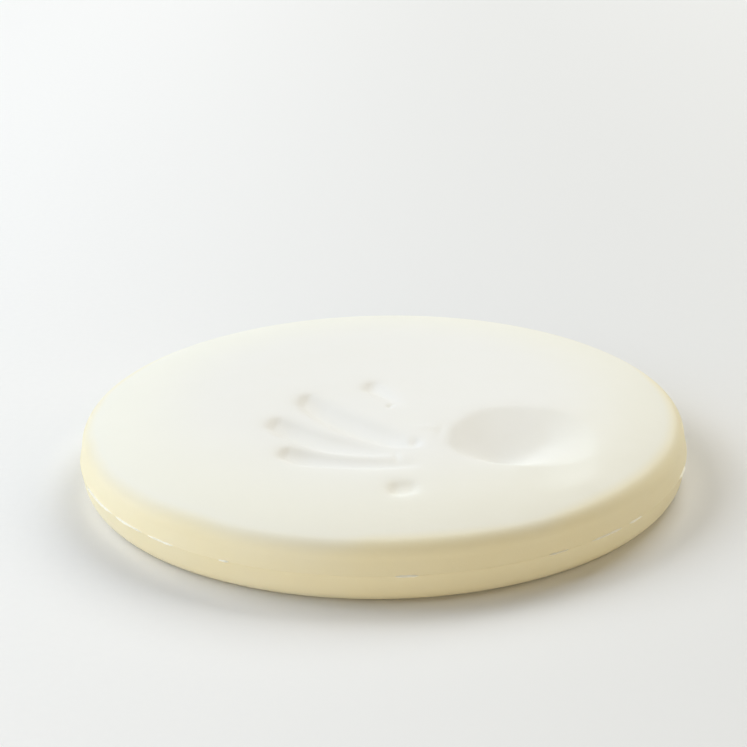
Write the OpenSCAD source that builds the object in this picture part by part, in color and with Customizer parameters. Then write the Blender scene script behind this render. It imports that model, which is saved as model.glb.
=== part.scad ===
// Round memory-foam seat pad: two bonded foams in a moulded skin, with a right-hand impression in
// its top. The origin is at the centre of the underside, +Z is up, and the fingers point to -X.

/* [Pad] */
// Diameter at the parting line, the widest place
pad_d = 400; // [380:1:440]
// Thickness at the middle
pad_h = 54; // [50:1:60]
// Height of the parting line
parting_z = 19; // [16:0.5:22]
// Diameter at which the side turns into the bottom corner
base_d = 397; // [380:1:399]
// Radius of the bottom corner
base_corner_r = 10.5; // [6:0.5:12]
// How far the side leans in between the parting line and the shoulder
wall_draft = 2; // [0.5:0.5:5]
// Height at which the side turns into the shoulder
shoulder_z = 28.5; // [24:0.5:34]
// Radius of the shoulder, where the side turns over into the domed top
shoulder_r = 11; // [8:0.5:14]

/* [Layers] */
// Thickness of the moulded skin
skin_t = 1.2; // [0.8:0.1:2]
// Thickness of the adhesive web between the foams
web_t = 0.6; // [0.4:0.1:1]

/* [Hand impression] */
// How deep the finger grooves are
finger_depth = 6; // [4:0.5:9]
// How deep the palm hollow is
palm_depth = 14; // [10:0.5:18]

/* [Parting flash] */
// How far the flash stands out from the side
flash_out = 0.9; // [0.5:0.1:1.5]
// Height of a sliver of flash
flash_h = 1.2; // [0.8:0.1:2]

/* [Hidden] */
$fn = 96;
pad_r = pad_d / 2;
base_r = base_d / 2;
web_bottom = parting_z - web_t / 2;
web_top = parting_z + web_t / 2;
corner_turn = 80;
corner_steps = 9;
shoulder_turn = 70;
shoulder_steps = 8;
dome_steps = 12;
flash_steps = 360;
far = 2 * pad_d;

// The centre of the shoulder's arc, and where the arc runs into the dome. The dome's power is the
// one that makes the two meet without a corner.
arc_x = pad_r - wall_draft - shoulder_r;
join_r = arc_x + shoulder_r * cos(shoulder_turn);
join_z = shoulder_z + shoulder_r * sin(shoulder_turn);
dome_power = join_r / tan(shoulder_turn) / (pad_h - join_z);

skin_colour = "#f1ecd6";
foam_colour = "#efe6c2";
web_colour = "#e6e2d2";
base_colour = "#e3dcc0";
flash_colour = "#f8f6ea";

// One row for each finger groove: tip, root and radius. The tips press a little deeper.
fingers = [
    [[-4, 0], [10, -27], 8],
    [[-45, -26], [16, -91], 9],
    [[-63, -62], [8, -103], 9],
    [[-54, -103], [18, -119], 8.5],
];
// Where the tip of the thumb and the two pads of the palm press, with radius and depth
thumb_tip = [[11, -147], 9, 3.5];
palm_pads = [
    [[82, -92], 50, palm_depth],
    [[71, -76], 64, palm_depth - 4],
];
finger_pad_extra = 1.2;

// Slivers of flash, each as where it starts and how far it runs round the side, in degrees.
// They count from +X, and the front of the pad is at 270.
slivers = [
    [201, 13.5], [215.5, 8.5], [225.5, 6.5], [241.5, 2], [271.5, 4], [298, 4], [307, 7.5],
    [316.5, 4], [338, 6], [12, 9], [47, 5], [80, 12], [118, 7], [151, 10],
];

// Height of the domed top at a distance from the middle
function dome_z(r) = pad_h - (pad_h - join_z) * pow(r / join_r, dome_power);

// Half of the pad's outline, drawn inset all round: the corner at the base, the parting line,
// the shoulder and the dome.
function corner_points(inset) = [
    for (i = [0 : corner_steps])
        let (a = -90 + corner_turn * i / corner_steps, r = base_corner_r - inset)
        [base_r - base_corner_r + r * cos(a), base_corner_r + r * sin(a)]
];
function shoulder_points(inset) = [
    for (i = [0 : shoulder_steps])
        let (a = shoulder_turn * i / shoulder_steps, r = shoulder_r - inset)
        [arc_x + r * cos(a), shoulder_z + r * sin(a)]
];
function dome_points(inset) = [
    for (i = [1 : dome_steps])
        let (r = join_r * (1 - i / dome_steps))
        [r, dome_z(r) - inset]
];
module outline(inset) {
    polygon(concat(
        [[0, inset]],
        corner_points(inset),
        [[pad_r - inset, parting_z]],
        shoulder_points(inset),
        dome_points(inset)
    ));
}

// The whole pad as one solid of revolution, before the hand presses it
module pad_form(inset) {
    rotate_extrude() outline(inset);
}

// A slab of space between two heights
module between(low, high) {
    translate([-far / 2, -far / 2, low]) cube([far, far, high - low]);
}

// A ball that dents the top to a depth below the dome, grown by the inset so that the layer
// below keeps its thickness under the dent
module dent(place, r, depth, grow) {
    translate([place[0], place[1], dome_z(norm(place)) - depth + r]) sphere(r + grow);
}

// A finger's groove: a round bar from tip to root with its axis above the surface, the
// fingertip's own dent at the tip, and a shallower ball that rounds off the root
module finger_groove(tip, root, r, grow) {
    run = norm(root - tip);
    turn = atan2(root[1] - tip[1], root[0] - tip[0]);
    translate([tip[0], tip[1], dome_z(norm(tip)) - finger_depth + r])
        rotate([0, 0, turn]) rotate([0, 90, 0]) cylinder(h = run, r = r + grow);
    dent(tip, r + finger_pad_extra, finger_depth + finger_pad_extra, grow);
    dent(root, r + finger_pad_extra, finger_depth + finger_pad_extra / 2, grow);
}

// Everything that the hand pushes down, grown by the inset
module hand(grow) {
    for (f = fingers) finger_groove(f[0], f[1], f[2], grow);
    dent(thumb_tip[0], thumb_tip[1], thumb_tip[2], grow);
    for (p = palm_pads) dent(p[0], p[1], p[2], grow);
}

// The pad above the web, with the hand pressed in, inset all round
module upper_form(inset) {
    difference() {
        intersection() {
            pad_form(inset);
            between(web_top, pad_h + 1);
        }
        hand(inset);
    }
}

module upper_skin() {
    color(skin_colour) difference() {
        upper_form(0);
        upper_form(skin_t);
    }
}

module comfort_foam() {
    color(foam_colour) upper_form(skin_t);
}

module bond_web() {
    color(web_colour) intersection() {
        pad_form(0);
        between(web_bottom, web_top);
    }
}

module support_foam() {
    color(base_colour) intersection() {
        pad_form(skin_t);
        between(0, web_bottom);
    }
}

module lower_skin() {
    color(skin_colour) intersection() {
        difference() {
            pad_form(0);
            pad_form(skin_t);
        }
        between(0, web_bottom);
    }
}

module parting_flash() {
    color(flash_colour) for (s = slivers)
        rotate([0, 0, s[0]]) rotate_extrude(angle = s[1], $fn = flash_steps) difference() {
            polygon([
                [pad_r - flash_out, parting_z - flash_h],
                [pad_r + flash_out, parting_z],
                [pad_r - flash_out, parting_z + flash_h],
            ]);
            outline(0);
        }
}

upper_skin();
comfort_foam();
bond_web();
support_foam();
lower_skin();
parting_flash();
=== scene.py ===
"""The looks of a round memory-foam pad with a right-hand impression in its top.

All lengths in the geometry functions are millimetres in the part's frame; meshes are in metres.
"""
import math

import bpy
import numpy as np
from mathutils import Matrix, Vector


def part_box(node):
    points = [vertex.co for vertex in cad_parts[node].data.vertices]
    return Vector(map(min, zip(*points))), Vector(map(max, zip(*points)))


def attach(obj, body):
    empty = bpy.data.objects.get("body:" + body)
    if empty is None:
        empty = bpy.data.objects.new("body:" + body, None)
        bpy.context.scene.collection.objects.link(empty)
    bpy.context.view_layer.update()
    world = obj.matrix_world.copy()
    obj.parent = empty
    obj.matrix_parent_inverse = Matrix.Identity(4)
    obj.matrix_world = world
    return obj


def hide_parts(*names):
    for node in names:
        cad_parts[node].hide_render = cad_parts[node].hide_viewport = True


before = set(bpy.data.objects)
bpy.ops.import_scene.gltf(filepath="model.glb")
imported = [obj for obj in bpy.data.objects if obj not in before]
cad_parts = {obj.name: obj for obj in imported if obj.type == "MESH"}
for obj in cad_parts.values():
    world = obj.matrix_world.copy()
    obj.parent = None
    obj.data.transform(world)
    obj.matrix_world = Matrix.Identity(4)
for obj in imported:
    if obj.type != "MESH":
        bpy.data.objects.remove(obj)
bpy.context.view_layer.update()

MM = 0.001
BODY = "root"
SEED = 7


# ---------------------------------------------------------------- sizes, from the CAD model's boxes
def box_mm(node):
    """Lowest and highest corner of a CAD node, in millimetres."""
    low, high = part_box(node)
    return np.array(low) / MM, np.array(high) / MM


SKIN_LOW, SKIN_HIGH = box_mm("upper_skin")
WEB_LOW, WEB_HIGH = box_mm("bond_web")
FOAM_LOW, FOAM_HIGH = box_mm("comfort_foam")
PAD_R = round((SKIN_HIGH[0] - SKIN_LOW[0]) / 2)  # the side leans in, so its box is a little short
PAD_H = SKIN_HIGH[2]
WEB_BOTTOM = WEB_LOW[2]
WEB_TOP = WEB_HIGH[2]
PARTING_Z = (WEB_BOTTOM + WEB_TOP) / 2
SKIN_T = PAD_H - FOAM_HIGH[2]

# Shape of the side, as the CAD model has it: a rounded bottom corner, a drafted wall, a round
# shoulder and a dome that meets it without a corner
WALL_DRAFT = 2.0
SHOULDER_Z = 28.5
SHOULDER_R = 11.0
SHOULDER_TURN = math.radians(70)
ARC_X = PAD_R - WALL_DRAFT - SHOULDER_R
JOIN_R = ARC_X + SHOULDER_R * math.cos(SHOULDER_TURN)
JOIN_Z = SHOULDER_Z + SHOULDER_R * math.sin(SHOULDER_TURN)
DOME_POWER = JOIN_R / math.tan(SHOULDER_TURN) / (PAD_H - JOIN_Z)
BASE_R = 198.5
CORNER_R = 10.5
CORNER_TURN = math.radians(80)
WEB_RECESS = 0.03  # how far the web's edge is drawn in from the side
LIP = 0.05  # how much the edges along the web are broken

# How the rings of the top's mesh are spread, and how finely the round pieces are divided
DOME_REACH = 178.0  # radius out to which they are evenly spaced
DOME_SHARE = 0.80  # share of the rings that lie within it
OUTER_RINGS = 140
INNER_RINGS = OUTER_RINGS // 2
DOME_POINTS, SHOULDER_POINTS, WALL_POINTS = 200, 40, 20  # along the profile
LATHE_SEGMENTS = 720

# The slight unevenness of moulded foam: its height, and the length of its waves
UNEVEN_RIM = 0.35
UNEVEN_TOP = 0.35
UNEVEN_SIDE = 0.25
RIM_WAVE, TOP_WAVE, SIDE_WAVE = 150, 120, 90
WAVES = 5


# ---------------------------------------------------------------- the hand that pressed the pad
# Each finger: how much gentler the wall on its far side is than the near one, as the fingers
# lean, and a curved row of stations, tip first: x, y, radius and depth at the station.
FINGERS = {
    "little": (2.0, [(-6, 2, 8.5, 3.8), (-1, -6, 7.5, 3.2), (6, -18, 7.5, 1.8), (11, -28, 8.0, 0.6)]),
    "ring": (2.3, [(-48, -21, 8.0, 4.8), (-40, -34, 9.0, 6.6), (-20, -59, 9.0, 6.8),
                   (2, -81, 8.5, 5.2), (16, -91, 7.5, 1.8)]),
    "middle": (2.0, [(-66, -58, 8.0, 4.8), (-56, -68, 9.0, 6.6), (-34, -86, 8.5, 6.0),
                     (-10, -97, 8.0, 3.6), (8, -103, 7.5, 1.0)]),
    "index": (1.7, [(-57, -100, 8.0, 4.8), (-47, -105, 8.5, 6.2), (-24, -112, 7.5, 4.8),
                    (2, -117, 6.5, 3.0), (18, -119, 6.0, 1.0)]),
    "thumb": (1.6, [(8, -147, 8.0, 3.4), (15, -146, 8.0, 2.8)]),
}
# The heel of the palm, as stations along the line where it presses deepest: x, y, how far its
# hollow reaches to the left, the right, the far and the near side, and its depth. It slopes
# gently down from the far left, and rises more steeply beyond.
PALM = [
    (62, -88, 24, 30, 46, 22, 10.5),
    (74, -92, 34, 34, 60, 24, 15),
    (86, -84, 42, 40, 54, 34, 14),
    (98, -74, 46, 36, 42, 48, 11.5),
]
PALM_BLUNT = 0.14  # how blunt the bottom of the hollow is
FINGER_STATIONS, PALM_STATIONS = 40, 30
# A shallow dip beside the hollow, as x, y, half length, half width, turn in degrees and depth,
# and how softly it begins
THUMB_BALL = (104, -110, 38, 26, 55, 2.4)
THUMB_BALL_SOFT = 1.5
# Folds of skin pinched between the finger roots and the palm: x, y, half length, half width,
# turn in degrees, depth, where a negative depth stands up
CREASES = [
    (20, -87, 7, 4.0, 95, 2.0),
    (8, -107, 7, 2.4, 100, 0.9),
    (5, -29, 4, 2.2, 70, 1.6),
    (36, -70, 12, 3.0, 80, 0.5),
    (27, -66, 9, 4.0, 150, -0.8),
]
CREASE_SHARPNESS = 1.4

# The grid on which the pressed top is worked out
HAND_LOW = np.array([-125.0, -195.0])
HAND_HIGH = np.array([175.0, 65.0])
GRID_STEP = 1.0
NOT_TOUCHED = 60.0  # a height well above the top, where there is no hand
FOAM_REACH = 3.5  # how far a dent pulls down the foam beside it
SETTLE_STEPS = 260
SMOOTH_STEPS = 3
# The wide, shallow sag round the hand: its share of the depth, and how far it eases the print
SAG_SHARE = 0.25
SAG_RELIEF = 0.4
SAG_STEPS = 420


def stations(points, count):
    """A smooth Catmull-Rom row of stations through the given ones."""
    p = np.array(points, float)
    p = np.vstack([2 * p[0] - p[1], p, 2 * p[-1] - p[-2]])
    out = []
    for s in np.linspace(0, len(points) - 1 - 1e-9, count):
        i, t = int(s), s - int(s)
        a, b, c, d = p[i], p[i + 1], p[i + 2], p[i + 3]
        out.append(0.5 * (2 * b + (c - a) * t + (2 * a - 5 * b + 4 * c - d) * t * t
                          + (3 * b - a - 3 * c + d) * t ** 3))
    return out


def turned(x, y, centre_x, centre_y, degrees):
    """Coordinates along and across an axis turned from +X about a centre."""
    c, s = math.cos(math.radians(degrees)), math.sin(math.radians(degrees))
    dx, dy = x - centre_x, y - centre_y
    return dx * c + dy * s, -dx * s + dy * c


def hand_underside(x, y):
    """Height of the hand's underside over the pad's top, where the hand is over it."""
    low = np.full(x.shape, NOT_TOUCHED)
    for lean, row in FINGERS.values():
        for cx, cy, r, depth in stations(row, FINGER_STATIONS):
            across = np.where(y > cy, (y - cy) / lean, y - cy)
            q = 1 - ((x - cx) ** 2 + across ** 2) / r ** 2
            inside = q > 0
            low[inside] = np.minimum(low[inside], r - depth - r * np.sqrt(q[inside]))
    for cx, cy, left, right, far, near, depth in stations(PALM, PALM_STATIONS):
        across = np.where(x > cx, (x - cx) / right, (x - cx) / left)
        along = np.where(y > cy, (y - cy) / far, (y - cy) / near)
        share = np.sqrt(across ** 2 + along ** 2 + PALM_BLUNT ** 2)
        inside = share < 1
        low[inside] = np.minimum(low[inside], -depth * (1 - share[inside]))
    cx, cy, a, b, turn, depth = THUMB_BALL
    along, across = turned(x, y, cx, cy, turn)
    q = 1 - (along / a) ** 2 - (across / b) ** 2
    inside = q > 0
    low[inside] = np.minimum(low[inside], -depth * q[inside] ** THUMB_BALL_SOFT)
    return low


def neighbours(u):
    """Mean of the four neighbours of each cell, with still edges."""
    p = np.pad(u, 1)
    return (p[:-2, 1:-1] + p[2:, 1:-1] + p[1:-1, :-2] + p[1:-1, 2:]) / 4


def press():
    """How far the top is pressed down, as a grid: the foam springs up against the hand, and
    what the hand doesn't touch is pulled down beside it."""
    xs = np.arange(HAND_LOW[0], HAND_HIGH[0] + GRID_STEP, GRID_STEP)
    ys = np.arange(HAND_LOW[1], HAND_HIGH[1] + GRID_STEP, GRID_STEP)
    x, y = np.meshgrid(xs, ys, indexing="ij")
    ceiling = hand_underside(x, y)
    spring = 1 / (1 + (GRID_STEP / FOAM_REACH) ** 2 / 4)
    u = np.minimum(ceiling, 0.0)
    for _ in range(SETTLE_STEPS):
        u = np.minimum(neighbours(u) * spring, ceiling)
    for _ in range(SMOOTH_STEPS):
        u = (u + neighbours(u)) / 2
    for cx, cy, a, b, turn, depth in CREASES:
        along, across = turned(x, y, cx, cy, turn)
        u -= depth * np.exp(-((along / a) ** 2 + (across / b) ** 2) * CREASE_SHARPNESS)
    sag = u
    for _ in range(SAG_STEPS):
        sag = neighbours(sag)
    return xs, ys, u * (1 - SAG_SHARE * SAG_RELIEF) + sag * SAG_SHARE


PRESS_X, PRESS_Y, PRESSED = press()


def pressed_at(x, y):
    """The pressed depth at points, read from the grid and blended between its cells."""
    i = np.clip((x - PRESS_X[0]) / GRID_STEP, 0, len(PRESS_X) - 1.001)
    j = np.clip((y - PRESS_Y[0]) / GRID_STEP, 0, len(PRESS_Y) - 1.001)
    i0, j0 = i.astype(int), j.astype(int)
    a, b = i - i0, j - j0
    return (PRESSED[i0, j0] * (1 - a) * (1 - b) + PRESSED[i0 + 1, j0] * a * (1 - b)
            + PRESSED[i0, j0 + 1] * (1 - a) * b + PRESSED[i0 + 1, j0 + 1] * a * b)


def wander(x, y, z, size, seed):
    """A smooth, seeded unevenness between about -1 and 1, from a few sine waves."""
    rng = np.random.default_rng(seed)
    total = 0
    for _ in range(WAVES):
        way = rng.normal(size=3)
        way /= np.linalg.norm(way)
        length = size * rng.uniform(0.7, 1.5)
        turn = rng.uniform(0, 2 * math.pi)
        total = total + np.sin(2 * math.pi * (way[0] * x + way[1] * y + way[2] * z) / length + turn)
    return total / WAVES


# ---------------------------------------------------------------- surfaces of revolution
def top_profile(inset):
    """Radius and height along the top, from the middle, over the dome and the shoulder, and
    down the wall to the web."""
    r = np.linspace(0, JOIN_R, DOME_POINTS)
    dome = np.stack([r, PAD_H - inset - (PAD_H - JOIN_Z) * (r / JOIN_R) ** DOME_POWER], 1)
    turn = np.linspace(SHOULDER_TURN, 0, SHOULDER_POINTS)
    arc = SHOULDER_R - inset
    shoulder = np.stack([ARC_X + arc * np.cos(turn), SHOULDER_Z + arc * np.sin(turn)], 1)
    z = np.linspace(SHOULDER_Z, WEB_TOP, WALL_POINTS)[1:]
    lean = (z - PARTING_Z) / (SHOULDER_Z - PARTING_Z)
    wall = np.stack([PAD_R - inset - WALL_DRAFT * lean, z], 1)
    return np.vstack([dome[:-1], shoulder, wall])


def crown(share, inset=0.0):
    """Radius and height at a share of the way from the middle (0) to the web (1). The last
    shares are kept for the shoulder and the wall, where the profile turns most."""
    line = top_profile(inset)
    along = np.concatenate([[0], np.cumsum(np.linalg.norm(np.diff(line, axis=0), axis=1))])
    bend = np.interp(DOME_REACH, line[:DOME_POINTS, 0], along[:DOME_POINTS])
    way = np.interp(share, [0, DOME_SHARE, 1], [0, bend, along[-1]])
    return np.interp(way, along, line[:, 0]), np.interp(way, along, line[:, 1])


def disc_rings(count):
    """Ring and angle of each vertex of a disc whose ring k has 8k vertices, centre first."""
    ring, angle = [np.zeros(1)], [np.zeros(1)]
    for k in range(1, count + 1):
        ring.append(np.full(8 * k, k / count))
        angle.append(np.arange(8 * k) * 2 * math.pi / (8 * k))
    return np.concatenate(ring), np.concatenate(angle)


def disc_faces(count, first=0, flip=False):
    """Quads and triangles of that disc, wound upwards: each of its eight sectors gains one
    vertex a ring."""
    faces = []
    start = first + 1
    for j in range(8):
        faces.append((first, start + j, start + (j + 1) % 8))
    for k in range(1, count):
        inner, outer = start, start + 8 * k
        n_in, n_out = 8 * k, 8 * (k + 1)
        for s in range(8):
            for j in range(k):
                a, b = s * k + j, (s * k + j + 1) % n_in
                c, d = s * (k + 1) + j, s * (k + 1) + j + 1
                faces.append((inner + a, outer + c, outer + d, inner + b))
            a = ((s + 1) * k) % n_in
            c = s * (k + 1) + k
            faces.append((inner + a, outer + c, outer + (c + 1) % n_out))
        start = outer
    return [f[::-1] for f in faces] if flip else faces


def ring_start(count, first=0):
    """Index of the first vertex of a disc's outermost ring."""
    return first + 1 + 4 * count * (count - 1)


def bridge(outer_first, n_outer, inner_first, n_inner):
    """Faces between two rings of vertices that run the same way, where n_outer is a whole
    multiple of n_inner. They face down, as the lower edge of the upper skin does."""
    faces, step = [], n_outer // n_inner
    for j in range(n_inner):
        a, b = inner_first + j, inner_first + (j + 1) % n_inner
        run = [outer_first + (j * step + i) % n_outer for i in range(step + 1)]
        for i in range(step - 1):
            faces.append((a, run[i + 1], run[i]))
        faces.append((a, b, run[step], run[step - 1]))
    return faces


SHARP_FROM = math.radians(50)


def make_mesh(name, points_mm, faces):
    """A mesh object from millimetre points, smooth-shaded except at its sharp edges."""
    mesh = bpy.data.meshes.new(name)
    mesh.from_pydata((np.asarray(points_mm) * MM).tolist(), [], faces)
    mesh.validate()
    mesh.shade_smooth()
    mesh.set_sharp_from_angle(angle=SHARP_FROM)
    obj = bpy.data.objects.new(name, mesh)
    bpy.context.collection.objects.link(obj)
    return obj


def top_points(rings, inset):
    """Points of the pressed top, the shoulder and the upper side, as a disc of rings, drawn in
    by the inset. The radius wanders a little round the rim, and the height over the dome. All
    of it is set lower by UNEVEN_TOP, to stay under the CAD's top, so that the lower edge
    reaches that far into the web."""
    share, angle = disc_rings(rings)
    r, z = crown(share, inset)
    uneven = wander(np.cos(angle) * r, np.sin(angle) * r, z, RIM_WAVE, SEED)
    edge = np.clip((share - 0.5) / 0.4, 0, 1) * np.clip((1 - share) / 0.05, 0, 1)
    r = r + UNEVEN_RIM * uneven * edge
    x, y = r * np.cos(angle), r * np.sin(angle)
    lift = UNEVEN_TOP * wander(x, y, 0 * x, TOP_WAVE, SEED + 1)
    lift = lift * np.clip((1 - share) / 0.25, 0, 1)
    return np.stack([x, y, z + lift - UNEVEN_TOP + pressed_at(x, y)], 1)


def fan(centre, ring_first, count, flip=False):
    """Triangles from one vertex to a ring of vertices, facing up unless flipped."""
    faces = [(centre, ring_first + j, ring_first + (j + 1) % count) for j in range(count)]
    return [f[::-1] for f in faces] if flip else faces


def lathe(name, profile, segments, uneven=0.0):
    """A closed solid of revolution. Its profile starts and ends on the axis, and runs so that
    the solid is on its right-hand side."""
    profile = np.array(profile, float)
    angle = np.arange(segments) * 2 * math.pi / segments
    points, faces = [[0, 0, profile[0][1]]], []
    for r, z in profile[1:-1]:
        x, y = r * np.cos(angle), r * np.sin(angle)
        grow = 1 + uneven / PAD_R * wander(x, y, z, SIDE_WAVE, SEED + 2)
        points += np.stack([x * grow, y * grow, np.full(segments, z)], 1).tolist()
    points.append([0, 0, profile[-1][1]])
    rows = len(profile) - 2
    faces += fan(0, 1, segments)
    for k in range(rows - 1):
        a, b = 1 + k * segments, 1 + (k + 1) * segments
        for j in range(segments):
            n = (j + 1) % segments
            faces.append((a + j, b + j, b + n, a + n))
    last = 1 + (rows - 1) * segments
    faces += fan(len(points) - 1, last, segments, flip=True)
    return make_mesh(name, points, faces)


# ---------------------------------------------------------------- the pieces
def upper_skin():
    """The moulded skin of the top and the upper side: a thin closed shell."""
    outer, inner = top_points(OUTER_RINGS, 0), top_points(INNER_RINGS, SKIN_T)
    inner_first = len(outer)
    faces = disc_faces(OUTER_RINGS) + disc_faces(INNER_RINGS, inner_first, flip=True)
    faces += bridge(ring_start(OUTER_RINGS), 8 * OUTER_RINGS,
                    ring_start(INNER_RINGS, inner_first), 8 * INNER_RINGS)
    return make_mesh("upper_skin_moulded", np.vstack([outer, inner]), faces)


def comfort_foam():
    """The slow-recovery foam under that skin, nearly flat below, where the web holds it."""
    top = top_points(INNER_RINGS, SKIN_T)
    points = np.vstack([top, [[0, 0, WEB_TOP]]])
    faces = disc_faces(INNER_RINGS)
    faces += fan(len(top), ring_start(INNER_RINGS), 8 * INNER_RINGS, flip=True)
    return make_mesh("comfort_foam_core", points, faces)


def side_profile(inset, steps=10):
    """The lower side, from the web down to the underside, as radius and height."""
    corner = CORNER_R - inset
    turns = np.linspace(CORNER_TURN - math.pi / 2, -math.pi / 2, steps)
    low = [(BASE_R - CORNER_R + corner * math.cos(a), CORNER_R + corner * math.sin(a))
           for a in turns]
    rise = (PAD_R - inset - low[0][0]) / (PARTING_Z - low[0][1])
    high = [(low[0][0] + rise * (z - low[0][1]), z)
            for z in np.linspace(WEB_BOTTOM, low[0][1], 8)[:-1]]
    return high + low


def floor_rings(height, outwards):
    """Rings across a flat face at a height, for a lathe."""
    radii = np.linspace(0, BASE_R - CORNER_R, 12)[:-1]
    return [(r, height) for r in (radii if outwards else radii[::-1])]


def bond_web():
    """The thin adhesive web, with its edge a hair inside the side and its corners broken."""
    edge = PAD_R - WEB_RECESS
    profile = [(0, WEB_TOP), (edge * 0.5, WEB_TOP), (edge - LIP, WEB_TOP), (edge, WEB_TOP - LIP),
               (edge, WEB_BOTTOM + LIP), (edge - LIP, WEB_BOTTOM), (edge * 0.5, WEB_BOTTOM),
               (0, WEB_BOTTOM)]
    return lathe("bond_web_film", profile, LATHE_SEGMENTS // 2)


def support_foam():
    """The firm foam base, inside the lower skin."""
    side = side_profile(SKIN_T)
    profile = [(0, WEB_BOTTOM), (side[0][0] * 0.5, WEB_BOTTOM)] + side + floor_rings(SKIN_T, False)
    return lathe("support_foam_base", profile, LATHE_SEGMENTS // 2)


def lower_skin():
    """The moulded skin of the lower side and the underside, with a broken edge at the top."""
    outer, inner = side_profile(0), side_profile(SKIN_T)
    lip = [(outer[0][0] - LIP, outer[0][1]), (outer[0][0] - LIP * 0.3, outer[0][1] - LIP * 0.3)]
    profile = (floor_rings(SKIN_T, True) + inner[::-1] + lip + outer[1:] + floor_rings(0, False))
    return lathe("lower_skin_moulded", profile, LATHE_SEGMENTS, uneven=UNEVEN_SIDE)


# Slivers of flash, as where each starts and how far it runs, in degrees round from +X
SLIVERS = [
    (201, 13.5), (215.5, 8.5), (225.5, 6.5), (241.5, 2), (271.5, 4), (298, 4), (307, 7.5),
    (316.5, 4), (338, 6), (12, 9), (47, 5), (80, 12), (118, 7), (151, 10),
]
FLASH_OUT = 1.2
FLASH_H = 1.7
FLASH_STEP = 0.3  # degrees
FLASH_ROOT = -0.4  # how far the flash is rooted inside the side
FLASH_DROOP = 0.25


def parting_flash():
    """Torn slivers of mould flash along the parting line, each tapering away at its ends."""
    rng = np.random.default_rng(SEED + 3)
    points, faces = [], []
    for start, run in SLIVERS:
        count = max(6, round(run / FLASH_STEP))
        ragged = np.convolve(rng.uniform(0.45, 1.0, count + 5), np.ones(3) / 3, "same")[2:-2]
        first = len(points)
        for i in range(count + 1):
            t = i / count
            a = math.radians(start + run * t)
            taper = min(1, 5 * t, 5 * (1 - t)) ** 0.6 * ragged[i] + 0.02
            out, half = FLASH_OUT * taper, FLASH_H / 2 * max(taper, 0.15)
            droop = FLASH_DROOP * math.sin(7 * t + start)
            section = [(FLASH_ROOT, half), (out * 0.55, half * 0.6), (out, droop * taper),
                       (out * 0.55, -half * 0.6), (FLASH_ROOT, -half)]
            for dr, dz in section:
                r = PAD_R + dr
                points.append((r * math.cos(a), r * math.sin(a), PARTING_Z + dz))
        n = len(section)
        for i in range(count):
            for j in range(n):
                k = (j + 1) % n
                a, b = first + i * n, first + (i + 1) * n
                faces.append((a + j, a + k, b + k, b + j))
        faces.append(tuple(first + j for j in range(n))[::-1])
        faces.append(tuple(first + count * n + j for j in range(n)))
    return make_mesh("parting_flash_slivers", points, faces)


# ---------------------------------------------------------------- materials
class Nodes:
    """A small helper that adds and links the nodes of one material."""

    def __init__(self, name):
        self.material = bpy.data.materials.new(name)
        self.material.use_nodes = True
        self.tree = self.material.node_tree
        self.shader = self.tree.nodes["Principled BSDF"]
        self.place = self.add("ShaderNodeTexCoord").outputs["Object"]

    def add(self, kind, **sockets):
        """A new node, with a value or a link in each named socket."""
        node = self.tree.nodes.new(kind)
        for name, value in sockets.items():
            self.put(node, name.replace("_", " "), value)
        return node

    def put(self, node, socket, value):
        """Links a socket to another node's output, or gives it a plain value."""
        if isinstance(value, bpy.types.NodeSocket):
            self.tree.links.new(value, node.inputs[socket])
        else:
            node.inputs[socket].default_value = value

    def noise(self, scale, detail=2.0, rough=0.5):
        """Noise from 0 to 1 with features of about 1 / scale metres."""
        return self.add("ShaderNodeTexNoise", Vector=self.place, Scale=scale, Detail=detail,
                        Roughness=rough).outputs["Fac"]

    def cells(self, scale):
        """Distance to the nearest of a scatter of points, about 1 / scale metres apart."""
        node = self.add("ShaderNodeTexVoronoi", Vector=self.place, Scale=scale)
        return node.outputs["Distance"]

    def remap(self, value, low, high, to_low, to_high):
        """Takes a value smoothly from one range to another, and holds it there beyond."""
        node = self.tree.nodes.new("ShaderNodeMapRange")
        node.interpolation_type = "SMOOTHSTEP"
        for socket, v in (("Value", value), ("From Min", low), ("From Max", high),
                          ("To Min", to_low), ("To Max", to_high)):
            self.put(node, socket, v)
        return node.outputs["Result"]

    def math(self, what, a, b):
        """One piece of arithmetic on two values."""
        node = self.tree.nodes.new("ShaderNodeMath")
        node.operation = what
        self.put(node, 0, a)
        self.put(node, 1, b)
        return node.outputs["Value"]

    def mix(self, share, a, b):
        """Colour a where the share is 0, and colour b where it is 1."""
        node = self.tree.nodes.new("ShaderNodeMix")
        node.data_type = "RGBA"
        for i, v in ((0, share), (6, a), (7, b)):
            self.put(node, i, (*v, 1) if isinstance(v, tuple) else v)
        return node.outputs[2]

    def radius(self):
        """Distance from the pad's axis, in metres."""
        flat = self.add("ShaderNodeVectorMath", Vector=self.place)
        flat.operation = "MULTIPLY"
        flat.inputs[1].default_value = (1, 1, 0)
        size = self.tree.nodes.new("ShaderNodeVectorMath")
        size.operation = "LENGTH"
        self.put(size, 0, flat.outputs["Vector"])
        return size.outputs["Value"]

    def across(self):
        """Distance to the right of the middle, in metres."""
        return self.add("ShaderNodeSeparateXYZ", Vector=self.place).outputs["X"]

    def bump(self, value, distance, strength, below=None):
        """A bumped normal, over an earlier bump if one is given."""
        node = self.add("ShaderNodeBump", Height=value, Distance=distance, Strength=strength)
        if below is not None:
            self.put(node, "Normal", below)
        return node.outputs["Normal"]

    def finish(self, colour, normal, rough, specular=0.3, sheen=0.0):
        """Fills in the shader and gives back the material."""
        self.put(self.shader, "Base Color", colour)
        self.put(self.shader, "Normal", normal)
        self.put(self.shader, "Roughness", rough)
        self.put(self.shader, "Specular IOR Level", specular)
        self.put(self.shader, "Sheen Weight", sheen)
        self.put(self.shader, "Sheen Roughness", 0.5)
        return self.material


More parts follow.
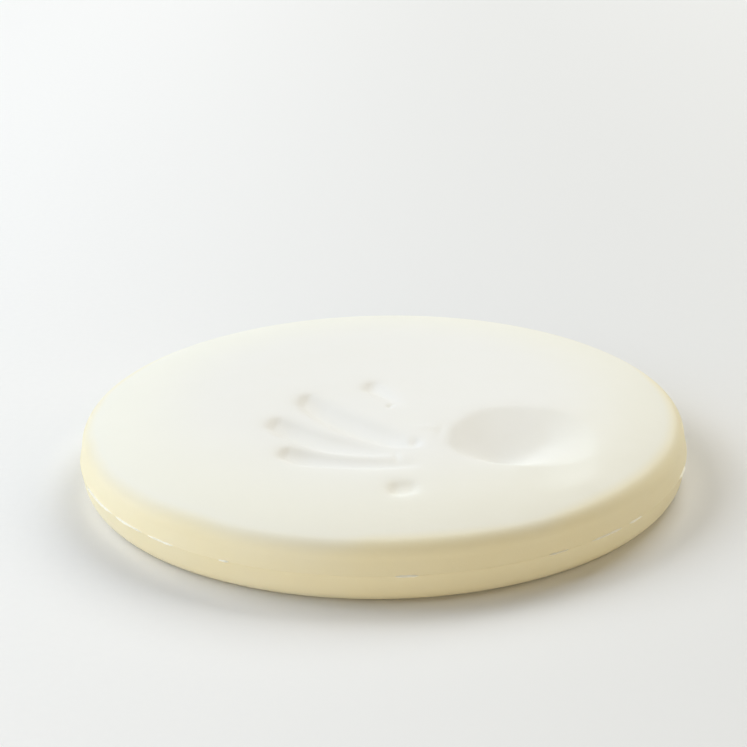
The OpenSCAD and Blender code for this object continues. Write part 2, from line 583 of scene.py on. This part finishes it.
TOP_WHITE = (0.858, 0.838, 0.782)
RIM_CREAM = (0.878, 0.855, 0.745)
# The side's cream: partly the foam's own colour, partly painted warm shade for light passing through
# the foam
SIDE_CREAM_AND_WARM_SHADE = (0.89, 0.805, 0.55)
RIM_SPAN = (0.095, 0.180)  # radii between which the white of the top warms a little
SIDE_SPAN = (0.186, 0.1985)  # radii between which it turns into the side's cream, partly painted warm shade


def skin_material(name):
    """Moulded foam skin: powdery white on top, warmer at the rim and cream down the side, with
    fine pores. The side's deeper cream is partly the foam's own colour and partly painted warm
    shade that stands in for light let through the foam."""
    n = Nodes(name)
    # The bounds between the colours follow the radius, and wander by a few millimetres
    wobble = n.remap(n.noise(9, 2), 0.3, 0.7, -0.0025, 0.0025)
    level = n.math("ADD", n.radius(), wobble)
    colour = n.mix(n.remap(level, *RIM_SPAN, 0, 1), TOP_WHITE, RIM_CREAM)
    # Down the side the cream is partly painted warm shade
    colour = n.mix(n.remap(level, *SIDE_SPAN, 0, 1), colour, SIDE_CREAM_AND_WARM_SHADE)
    # Faint patches, a twentieth of a metre across
    mottle = n.remap(n.noise(22, 4, 0.6), 0.3, 0.7, 0.0, 0.10)
    colour = n.mix(mottle, colour, tuple(c * 0.93 for c in RIM_CREAM))
    # Pores of about a millimetre, over a grain of about two millimetres and finer
    pores = n.remap(n.cells(900), 0.0, 0.28, 0.0, 1.0)
    skin = n.noise(420, 4, 0.65)
    normal = n.bump(skin, 0.0004, 0.22)
    normal = n.bump(pores, 0.0002, 0.18, normal)
    rough = n.remap(n.noise(60, 3), 0.3, 0.7, 0.62, 0.76)
    return n.finish(colour, normal, rough, specular=0.25, sheen=0.08)


def foam_material(name, light, dark, cell_scale):
    """Open foam: a close mass of little cells."""
    n = Nodes(name)
    cells = n.cells(cell_scale)
    fine = n.noise(cell_scale * 0.4, 3)
    colour = n.mix(n.remap(cells, 0.05, 0.5, 0, 1), light, dark)
    colour = n.mix(n.remap(fine, 0.3, 0.7, 0, 0.3), colour, dark)
    normal = n.bump(cells, 0.0008, 0.6)
    return n.finish(colour, normal, n.remap(fine, 0.3, 0.7, 0.85, 0.95), specular=0.15, sheen=0.1)


def film_material():
    """Dried web of hot-melt glue: cream, in small uneven patches."""
    n = Nodes("bond_web_look")
    patches = n.noise(260, 5, 0.7)
    colour = n.mix(n.remap(patches, 0.35, 0.65, 0, 1), (0.88, 0.795, 0.54), (0.91, 0.825, 0.57))
    return n.finish(colour, n.bump(patches, 0.0003, 0.4), n.remap(patches, 0.3, 0.7, 0.4, 0.6))


def flash_material():
    """Thin torn flash: a little shinier than the skin, and paler, partly its own colour and partly
    painted highlight.
    """
    n = Nodes("parting_flash_look")
    tear = n.noise(700, 4, 0.6)
    # The pale colours are partly painted highlight along the slivers
    colour = n.mix(n.remap(tear, 0.3, 0.7, 0, 1), (0.93, 0.89, 0.74), (0.97, 0.945, 0.85))
    return n.finish(colour, n.bump(tear, 0.0003, 0.3), n.remap(tear, 0.3, 0.7, 0.5, 0.65))


def dress(obj, material, node):
    """Gives a piece its material and its body, and hides the CAD node that it stands for."""
    obj.data.materials.append(material)
    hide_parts(node)
    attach(obj, BODY)


UPPER_LOOK = skin_material("upper_skin_look")
LOWER_LOOK = skin_material("lower_skin_look")
dress(upper_skin(), UPPER_LOOK, "upper_skin")
dress(comfort_foam(), foam_material("comfort_foam_look", (0.86, 0.80, 0.60), (0.70, 0.62, 0.42), 1400),
      "comfort_foam")
dress(bond_web(), film_material(), "bond_web")
dress(support_foam(), foam_material("support_foam_look", (0.80, 0.75, 0.58), (0.62, 0.56, 0.42), 700),
      "support_foam")
dress(lower_skin(), LOWER_LOOK, "lower_skin")
dress(parting_flash(), flash_material(), "parting_flash")


# ---------------------------------------------------------------- stage, lights and camera
FLOOR_R = 12.0
FLOOR_RINGS = 24
FLOOR_SEGMENTS = 96
FLOOR_LEFT = (0.892, 0.880, 0.858)
FLOOR_RIGHT_PAINTED_SHADE = (0.775, 0.764, 0.738)
FLOOR_SHADE_SPAN = (-0.5, 0.3)  # across which the paper is painted darker as shade, in metres


def make_floor():
    """A wide disc of pale paper, painted a little darker to the right as shade where the light
    falls off, with a fine matte grain.
    """
    radii = FLOOR_R * (np.arange(1, FLOOR_RINGS + 1) / FLOOR_RINGS) ** 2
    angle = np.arange(FLOOR_SEGMENTS) * 2 * math.pi / FLOOR_SEGMENTS
    points = [[0, 0, 0]]
    for r in radii:
        points += np.stack([r * np.cos(angle), r * np.sin(angle), 0 * angle], 1).tolist()
    faces = fan(0, 1, FLOOR_SEGMENTS)
    for k in range(FLOOR_RINGS - 1):
        a, b = 1 + k * FLOOR_SEGMENTS, 1 + (k + 1) * FLOOR_SEGMENTS
        for j in range(FLOOR_SEGMENTS):
            n = (j + 1) % FLOOR_SEGMENTS
            faces.append((a + j, b + j, b + n, a + n))
    floor = make_mesh("floor", np.array(points) / MM, faces)
    n = Nodes("floor_look")
    grain = n.noise(180, 3)
    # Painted shade: the paper darkens towards the right
    colour = n.mix(n.remap(n.across(), *FLOOR_SHADE_SPAN, 0, 1), FLOOR_LEFT, FLOOR_RIGHT_PAINTED_SHADE)
    colour = n.mix(n.remap(grain, 0.3, 0.7, 0, 0.12), colour, tuple(c * 0.9 for c in FLOOR_LEFT))
    floor.data.materials.append(n.finish(colour, n.bump(grain, 0.0002, 0.1), 0.75, specular=0.1))


def soft_light(name, azimuth, elevation, distance, size, power, colour):
    """A square area light that looks at the pad. Azimuth counts from +X, in degrees."""
    data = bpy.data.lights.new(name, "AREA")
    data.size, data.energy, data.color = size, power, colour
    light = bpy.data.objects.new(name, data)
    bpy.context.collection.objects.link(light)
    a, e = math.radians(azimuth), math.radians(elevation)
    way = Vector((math.cos(a) * math.cos(e), math.sin(a) * math.cos(e), math.sin(e)))
    light.location = way * distance
    light.rotation_euler = way.to_track_quat("Z", "Y").to_euler()
    light.visible_camera = False


# Name, azimuth and elevation in degrees, distance and size in metres, power and colour
LIGHTS = [
    ("key_back_left", 150, 40, 9.0, 5.4, 440, (0.975, 0.99, 1.0)),
    ("key_back_right", 62, 42, 9.0, 5.4, 525, (0.93, 0.97, 1.0)),
    ("side_left", 190, 28, 3.2, 2.2, 43, (0.76, 0.91, 1.14)),
    ("fill_front", 258, 10, 4.0, 2.4, 67, (1.0, 0.86, 0.60)),
    ("side_right", 8, 28, 5.0, 2.6, 73, (1.0, 0.90, 0.70)),
]


WORLD_COLOUR = (1.0, 0.95, 0.88)
WORLD_STRENGTH = 0.01


def make_world(colour, strength):
    """An even, faint light from all round."""
    world = bpy.data.worlds.new("studio")
    world.use_nodes = True
    back = world.node_tree.nodes["Background"]
    back.inputs["Color"].default_value = (*colour, 1)
    back.inputs["Strength"].default_value = strength
    bpy.context.scene.world = world


# The camera's place and aim: its distance from a point on the pad's axis and that point's
# height, the elevation that it stands at, how far its axis dips and turns aside, roll and lens
CAMERA_DISTANCE = 1150.0
CAMERA_TARGET_Z = 25.0
STANDS_AT = math.radians(22.85)
LOOKS_DOWN = math.radians(21.02)
LOOKS_ASIDE = math.radians(-0.30)
ROLL = math.radians(-1.04)
FOCAL_PIXELS = 1723.3
FRAME_PIXELS = 747
SENSOR_MM = 36.0


def make_camera():
    """The camera, from its place, its axis and its roll."""
    data = bpy.data.cameras.new("camera")
    data.sensor_width = SENSOR_MM
    data.lens = FOCAL_PIXELS * SENSOR_MM / FRAME_PIXELS
    camera = bpy.data.objects.new("camera", data)
    bpy.context.collection.objects.link(camera)
    place = Vector((0, -CAMERA_DISTANCE * math.cos(STANDS_AT),
                    CAMERA_TARGET_Z + CAMERA_DISTANCE * math.sin(STANDS_AT))) * MM
    ahead = Vector((math.sin(LOOKS_ASIDE) * math.cos(LOOKS_DOWN),
                    math.cos(LOOKS_ASIDE) * math.cos(LOOKS_DOWN), -math.sin(LOOKS_DOWN)))
    level = Vector((math.cos(LOOKS_ASIDE), -math.sin(LOOKS_ASIDE), 0))
    upright = level.cross(ahead)
    right = level * math.cos(ROLL) + upright * math.sin(ROLL)
    up = upright * math.cos(ROLL) - level * math.sin(ROLL)
    turn = Matrix((right, up, -ahead)).transposed().to_4x4()
    camera.matrix_world = Matrix.Translation(place) @ turn
    bpy.context.scene.camera = camera


make_floor()
for light in LIGHTS:
    soft_light(*light)
make_world(WORLD_COLOUR, WORLD_STRENGTH)
make_camera()
bpy.context.scene.view_settings.view_transform = "Standard"
bpy.context.scene.view_settings.look = "None"
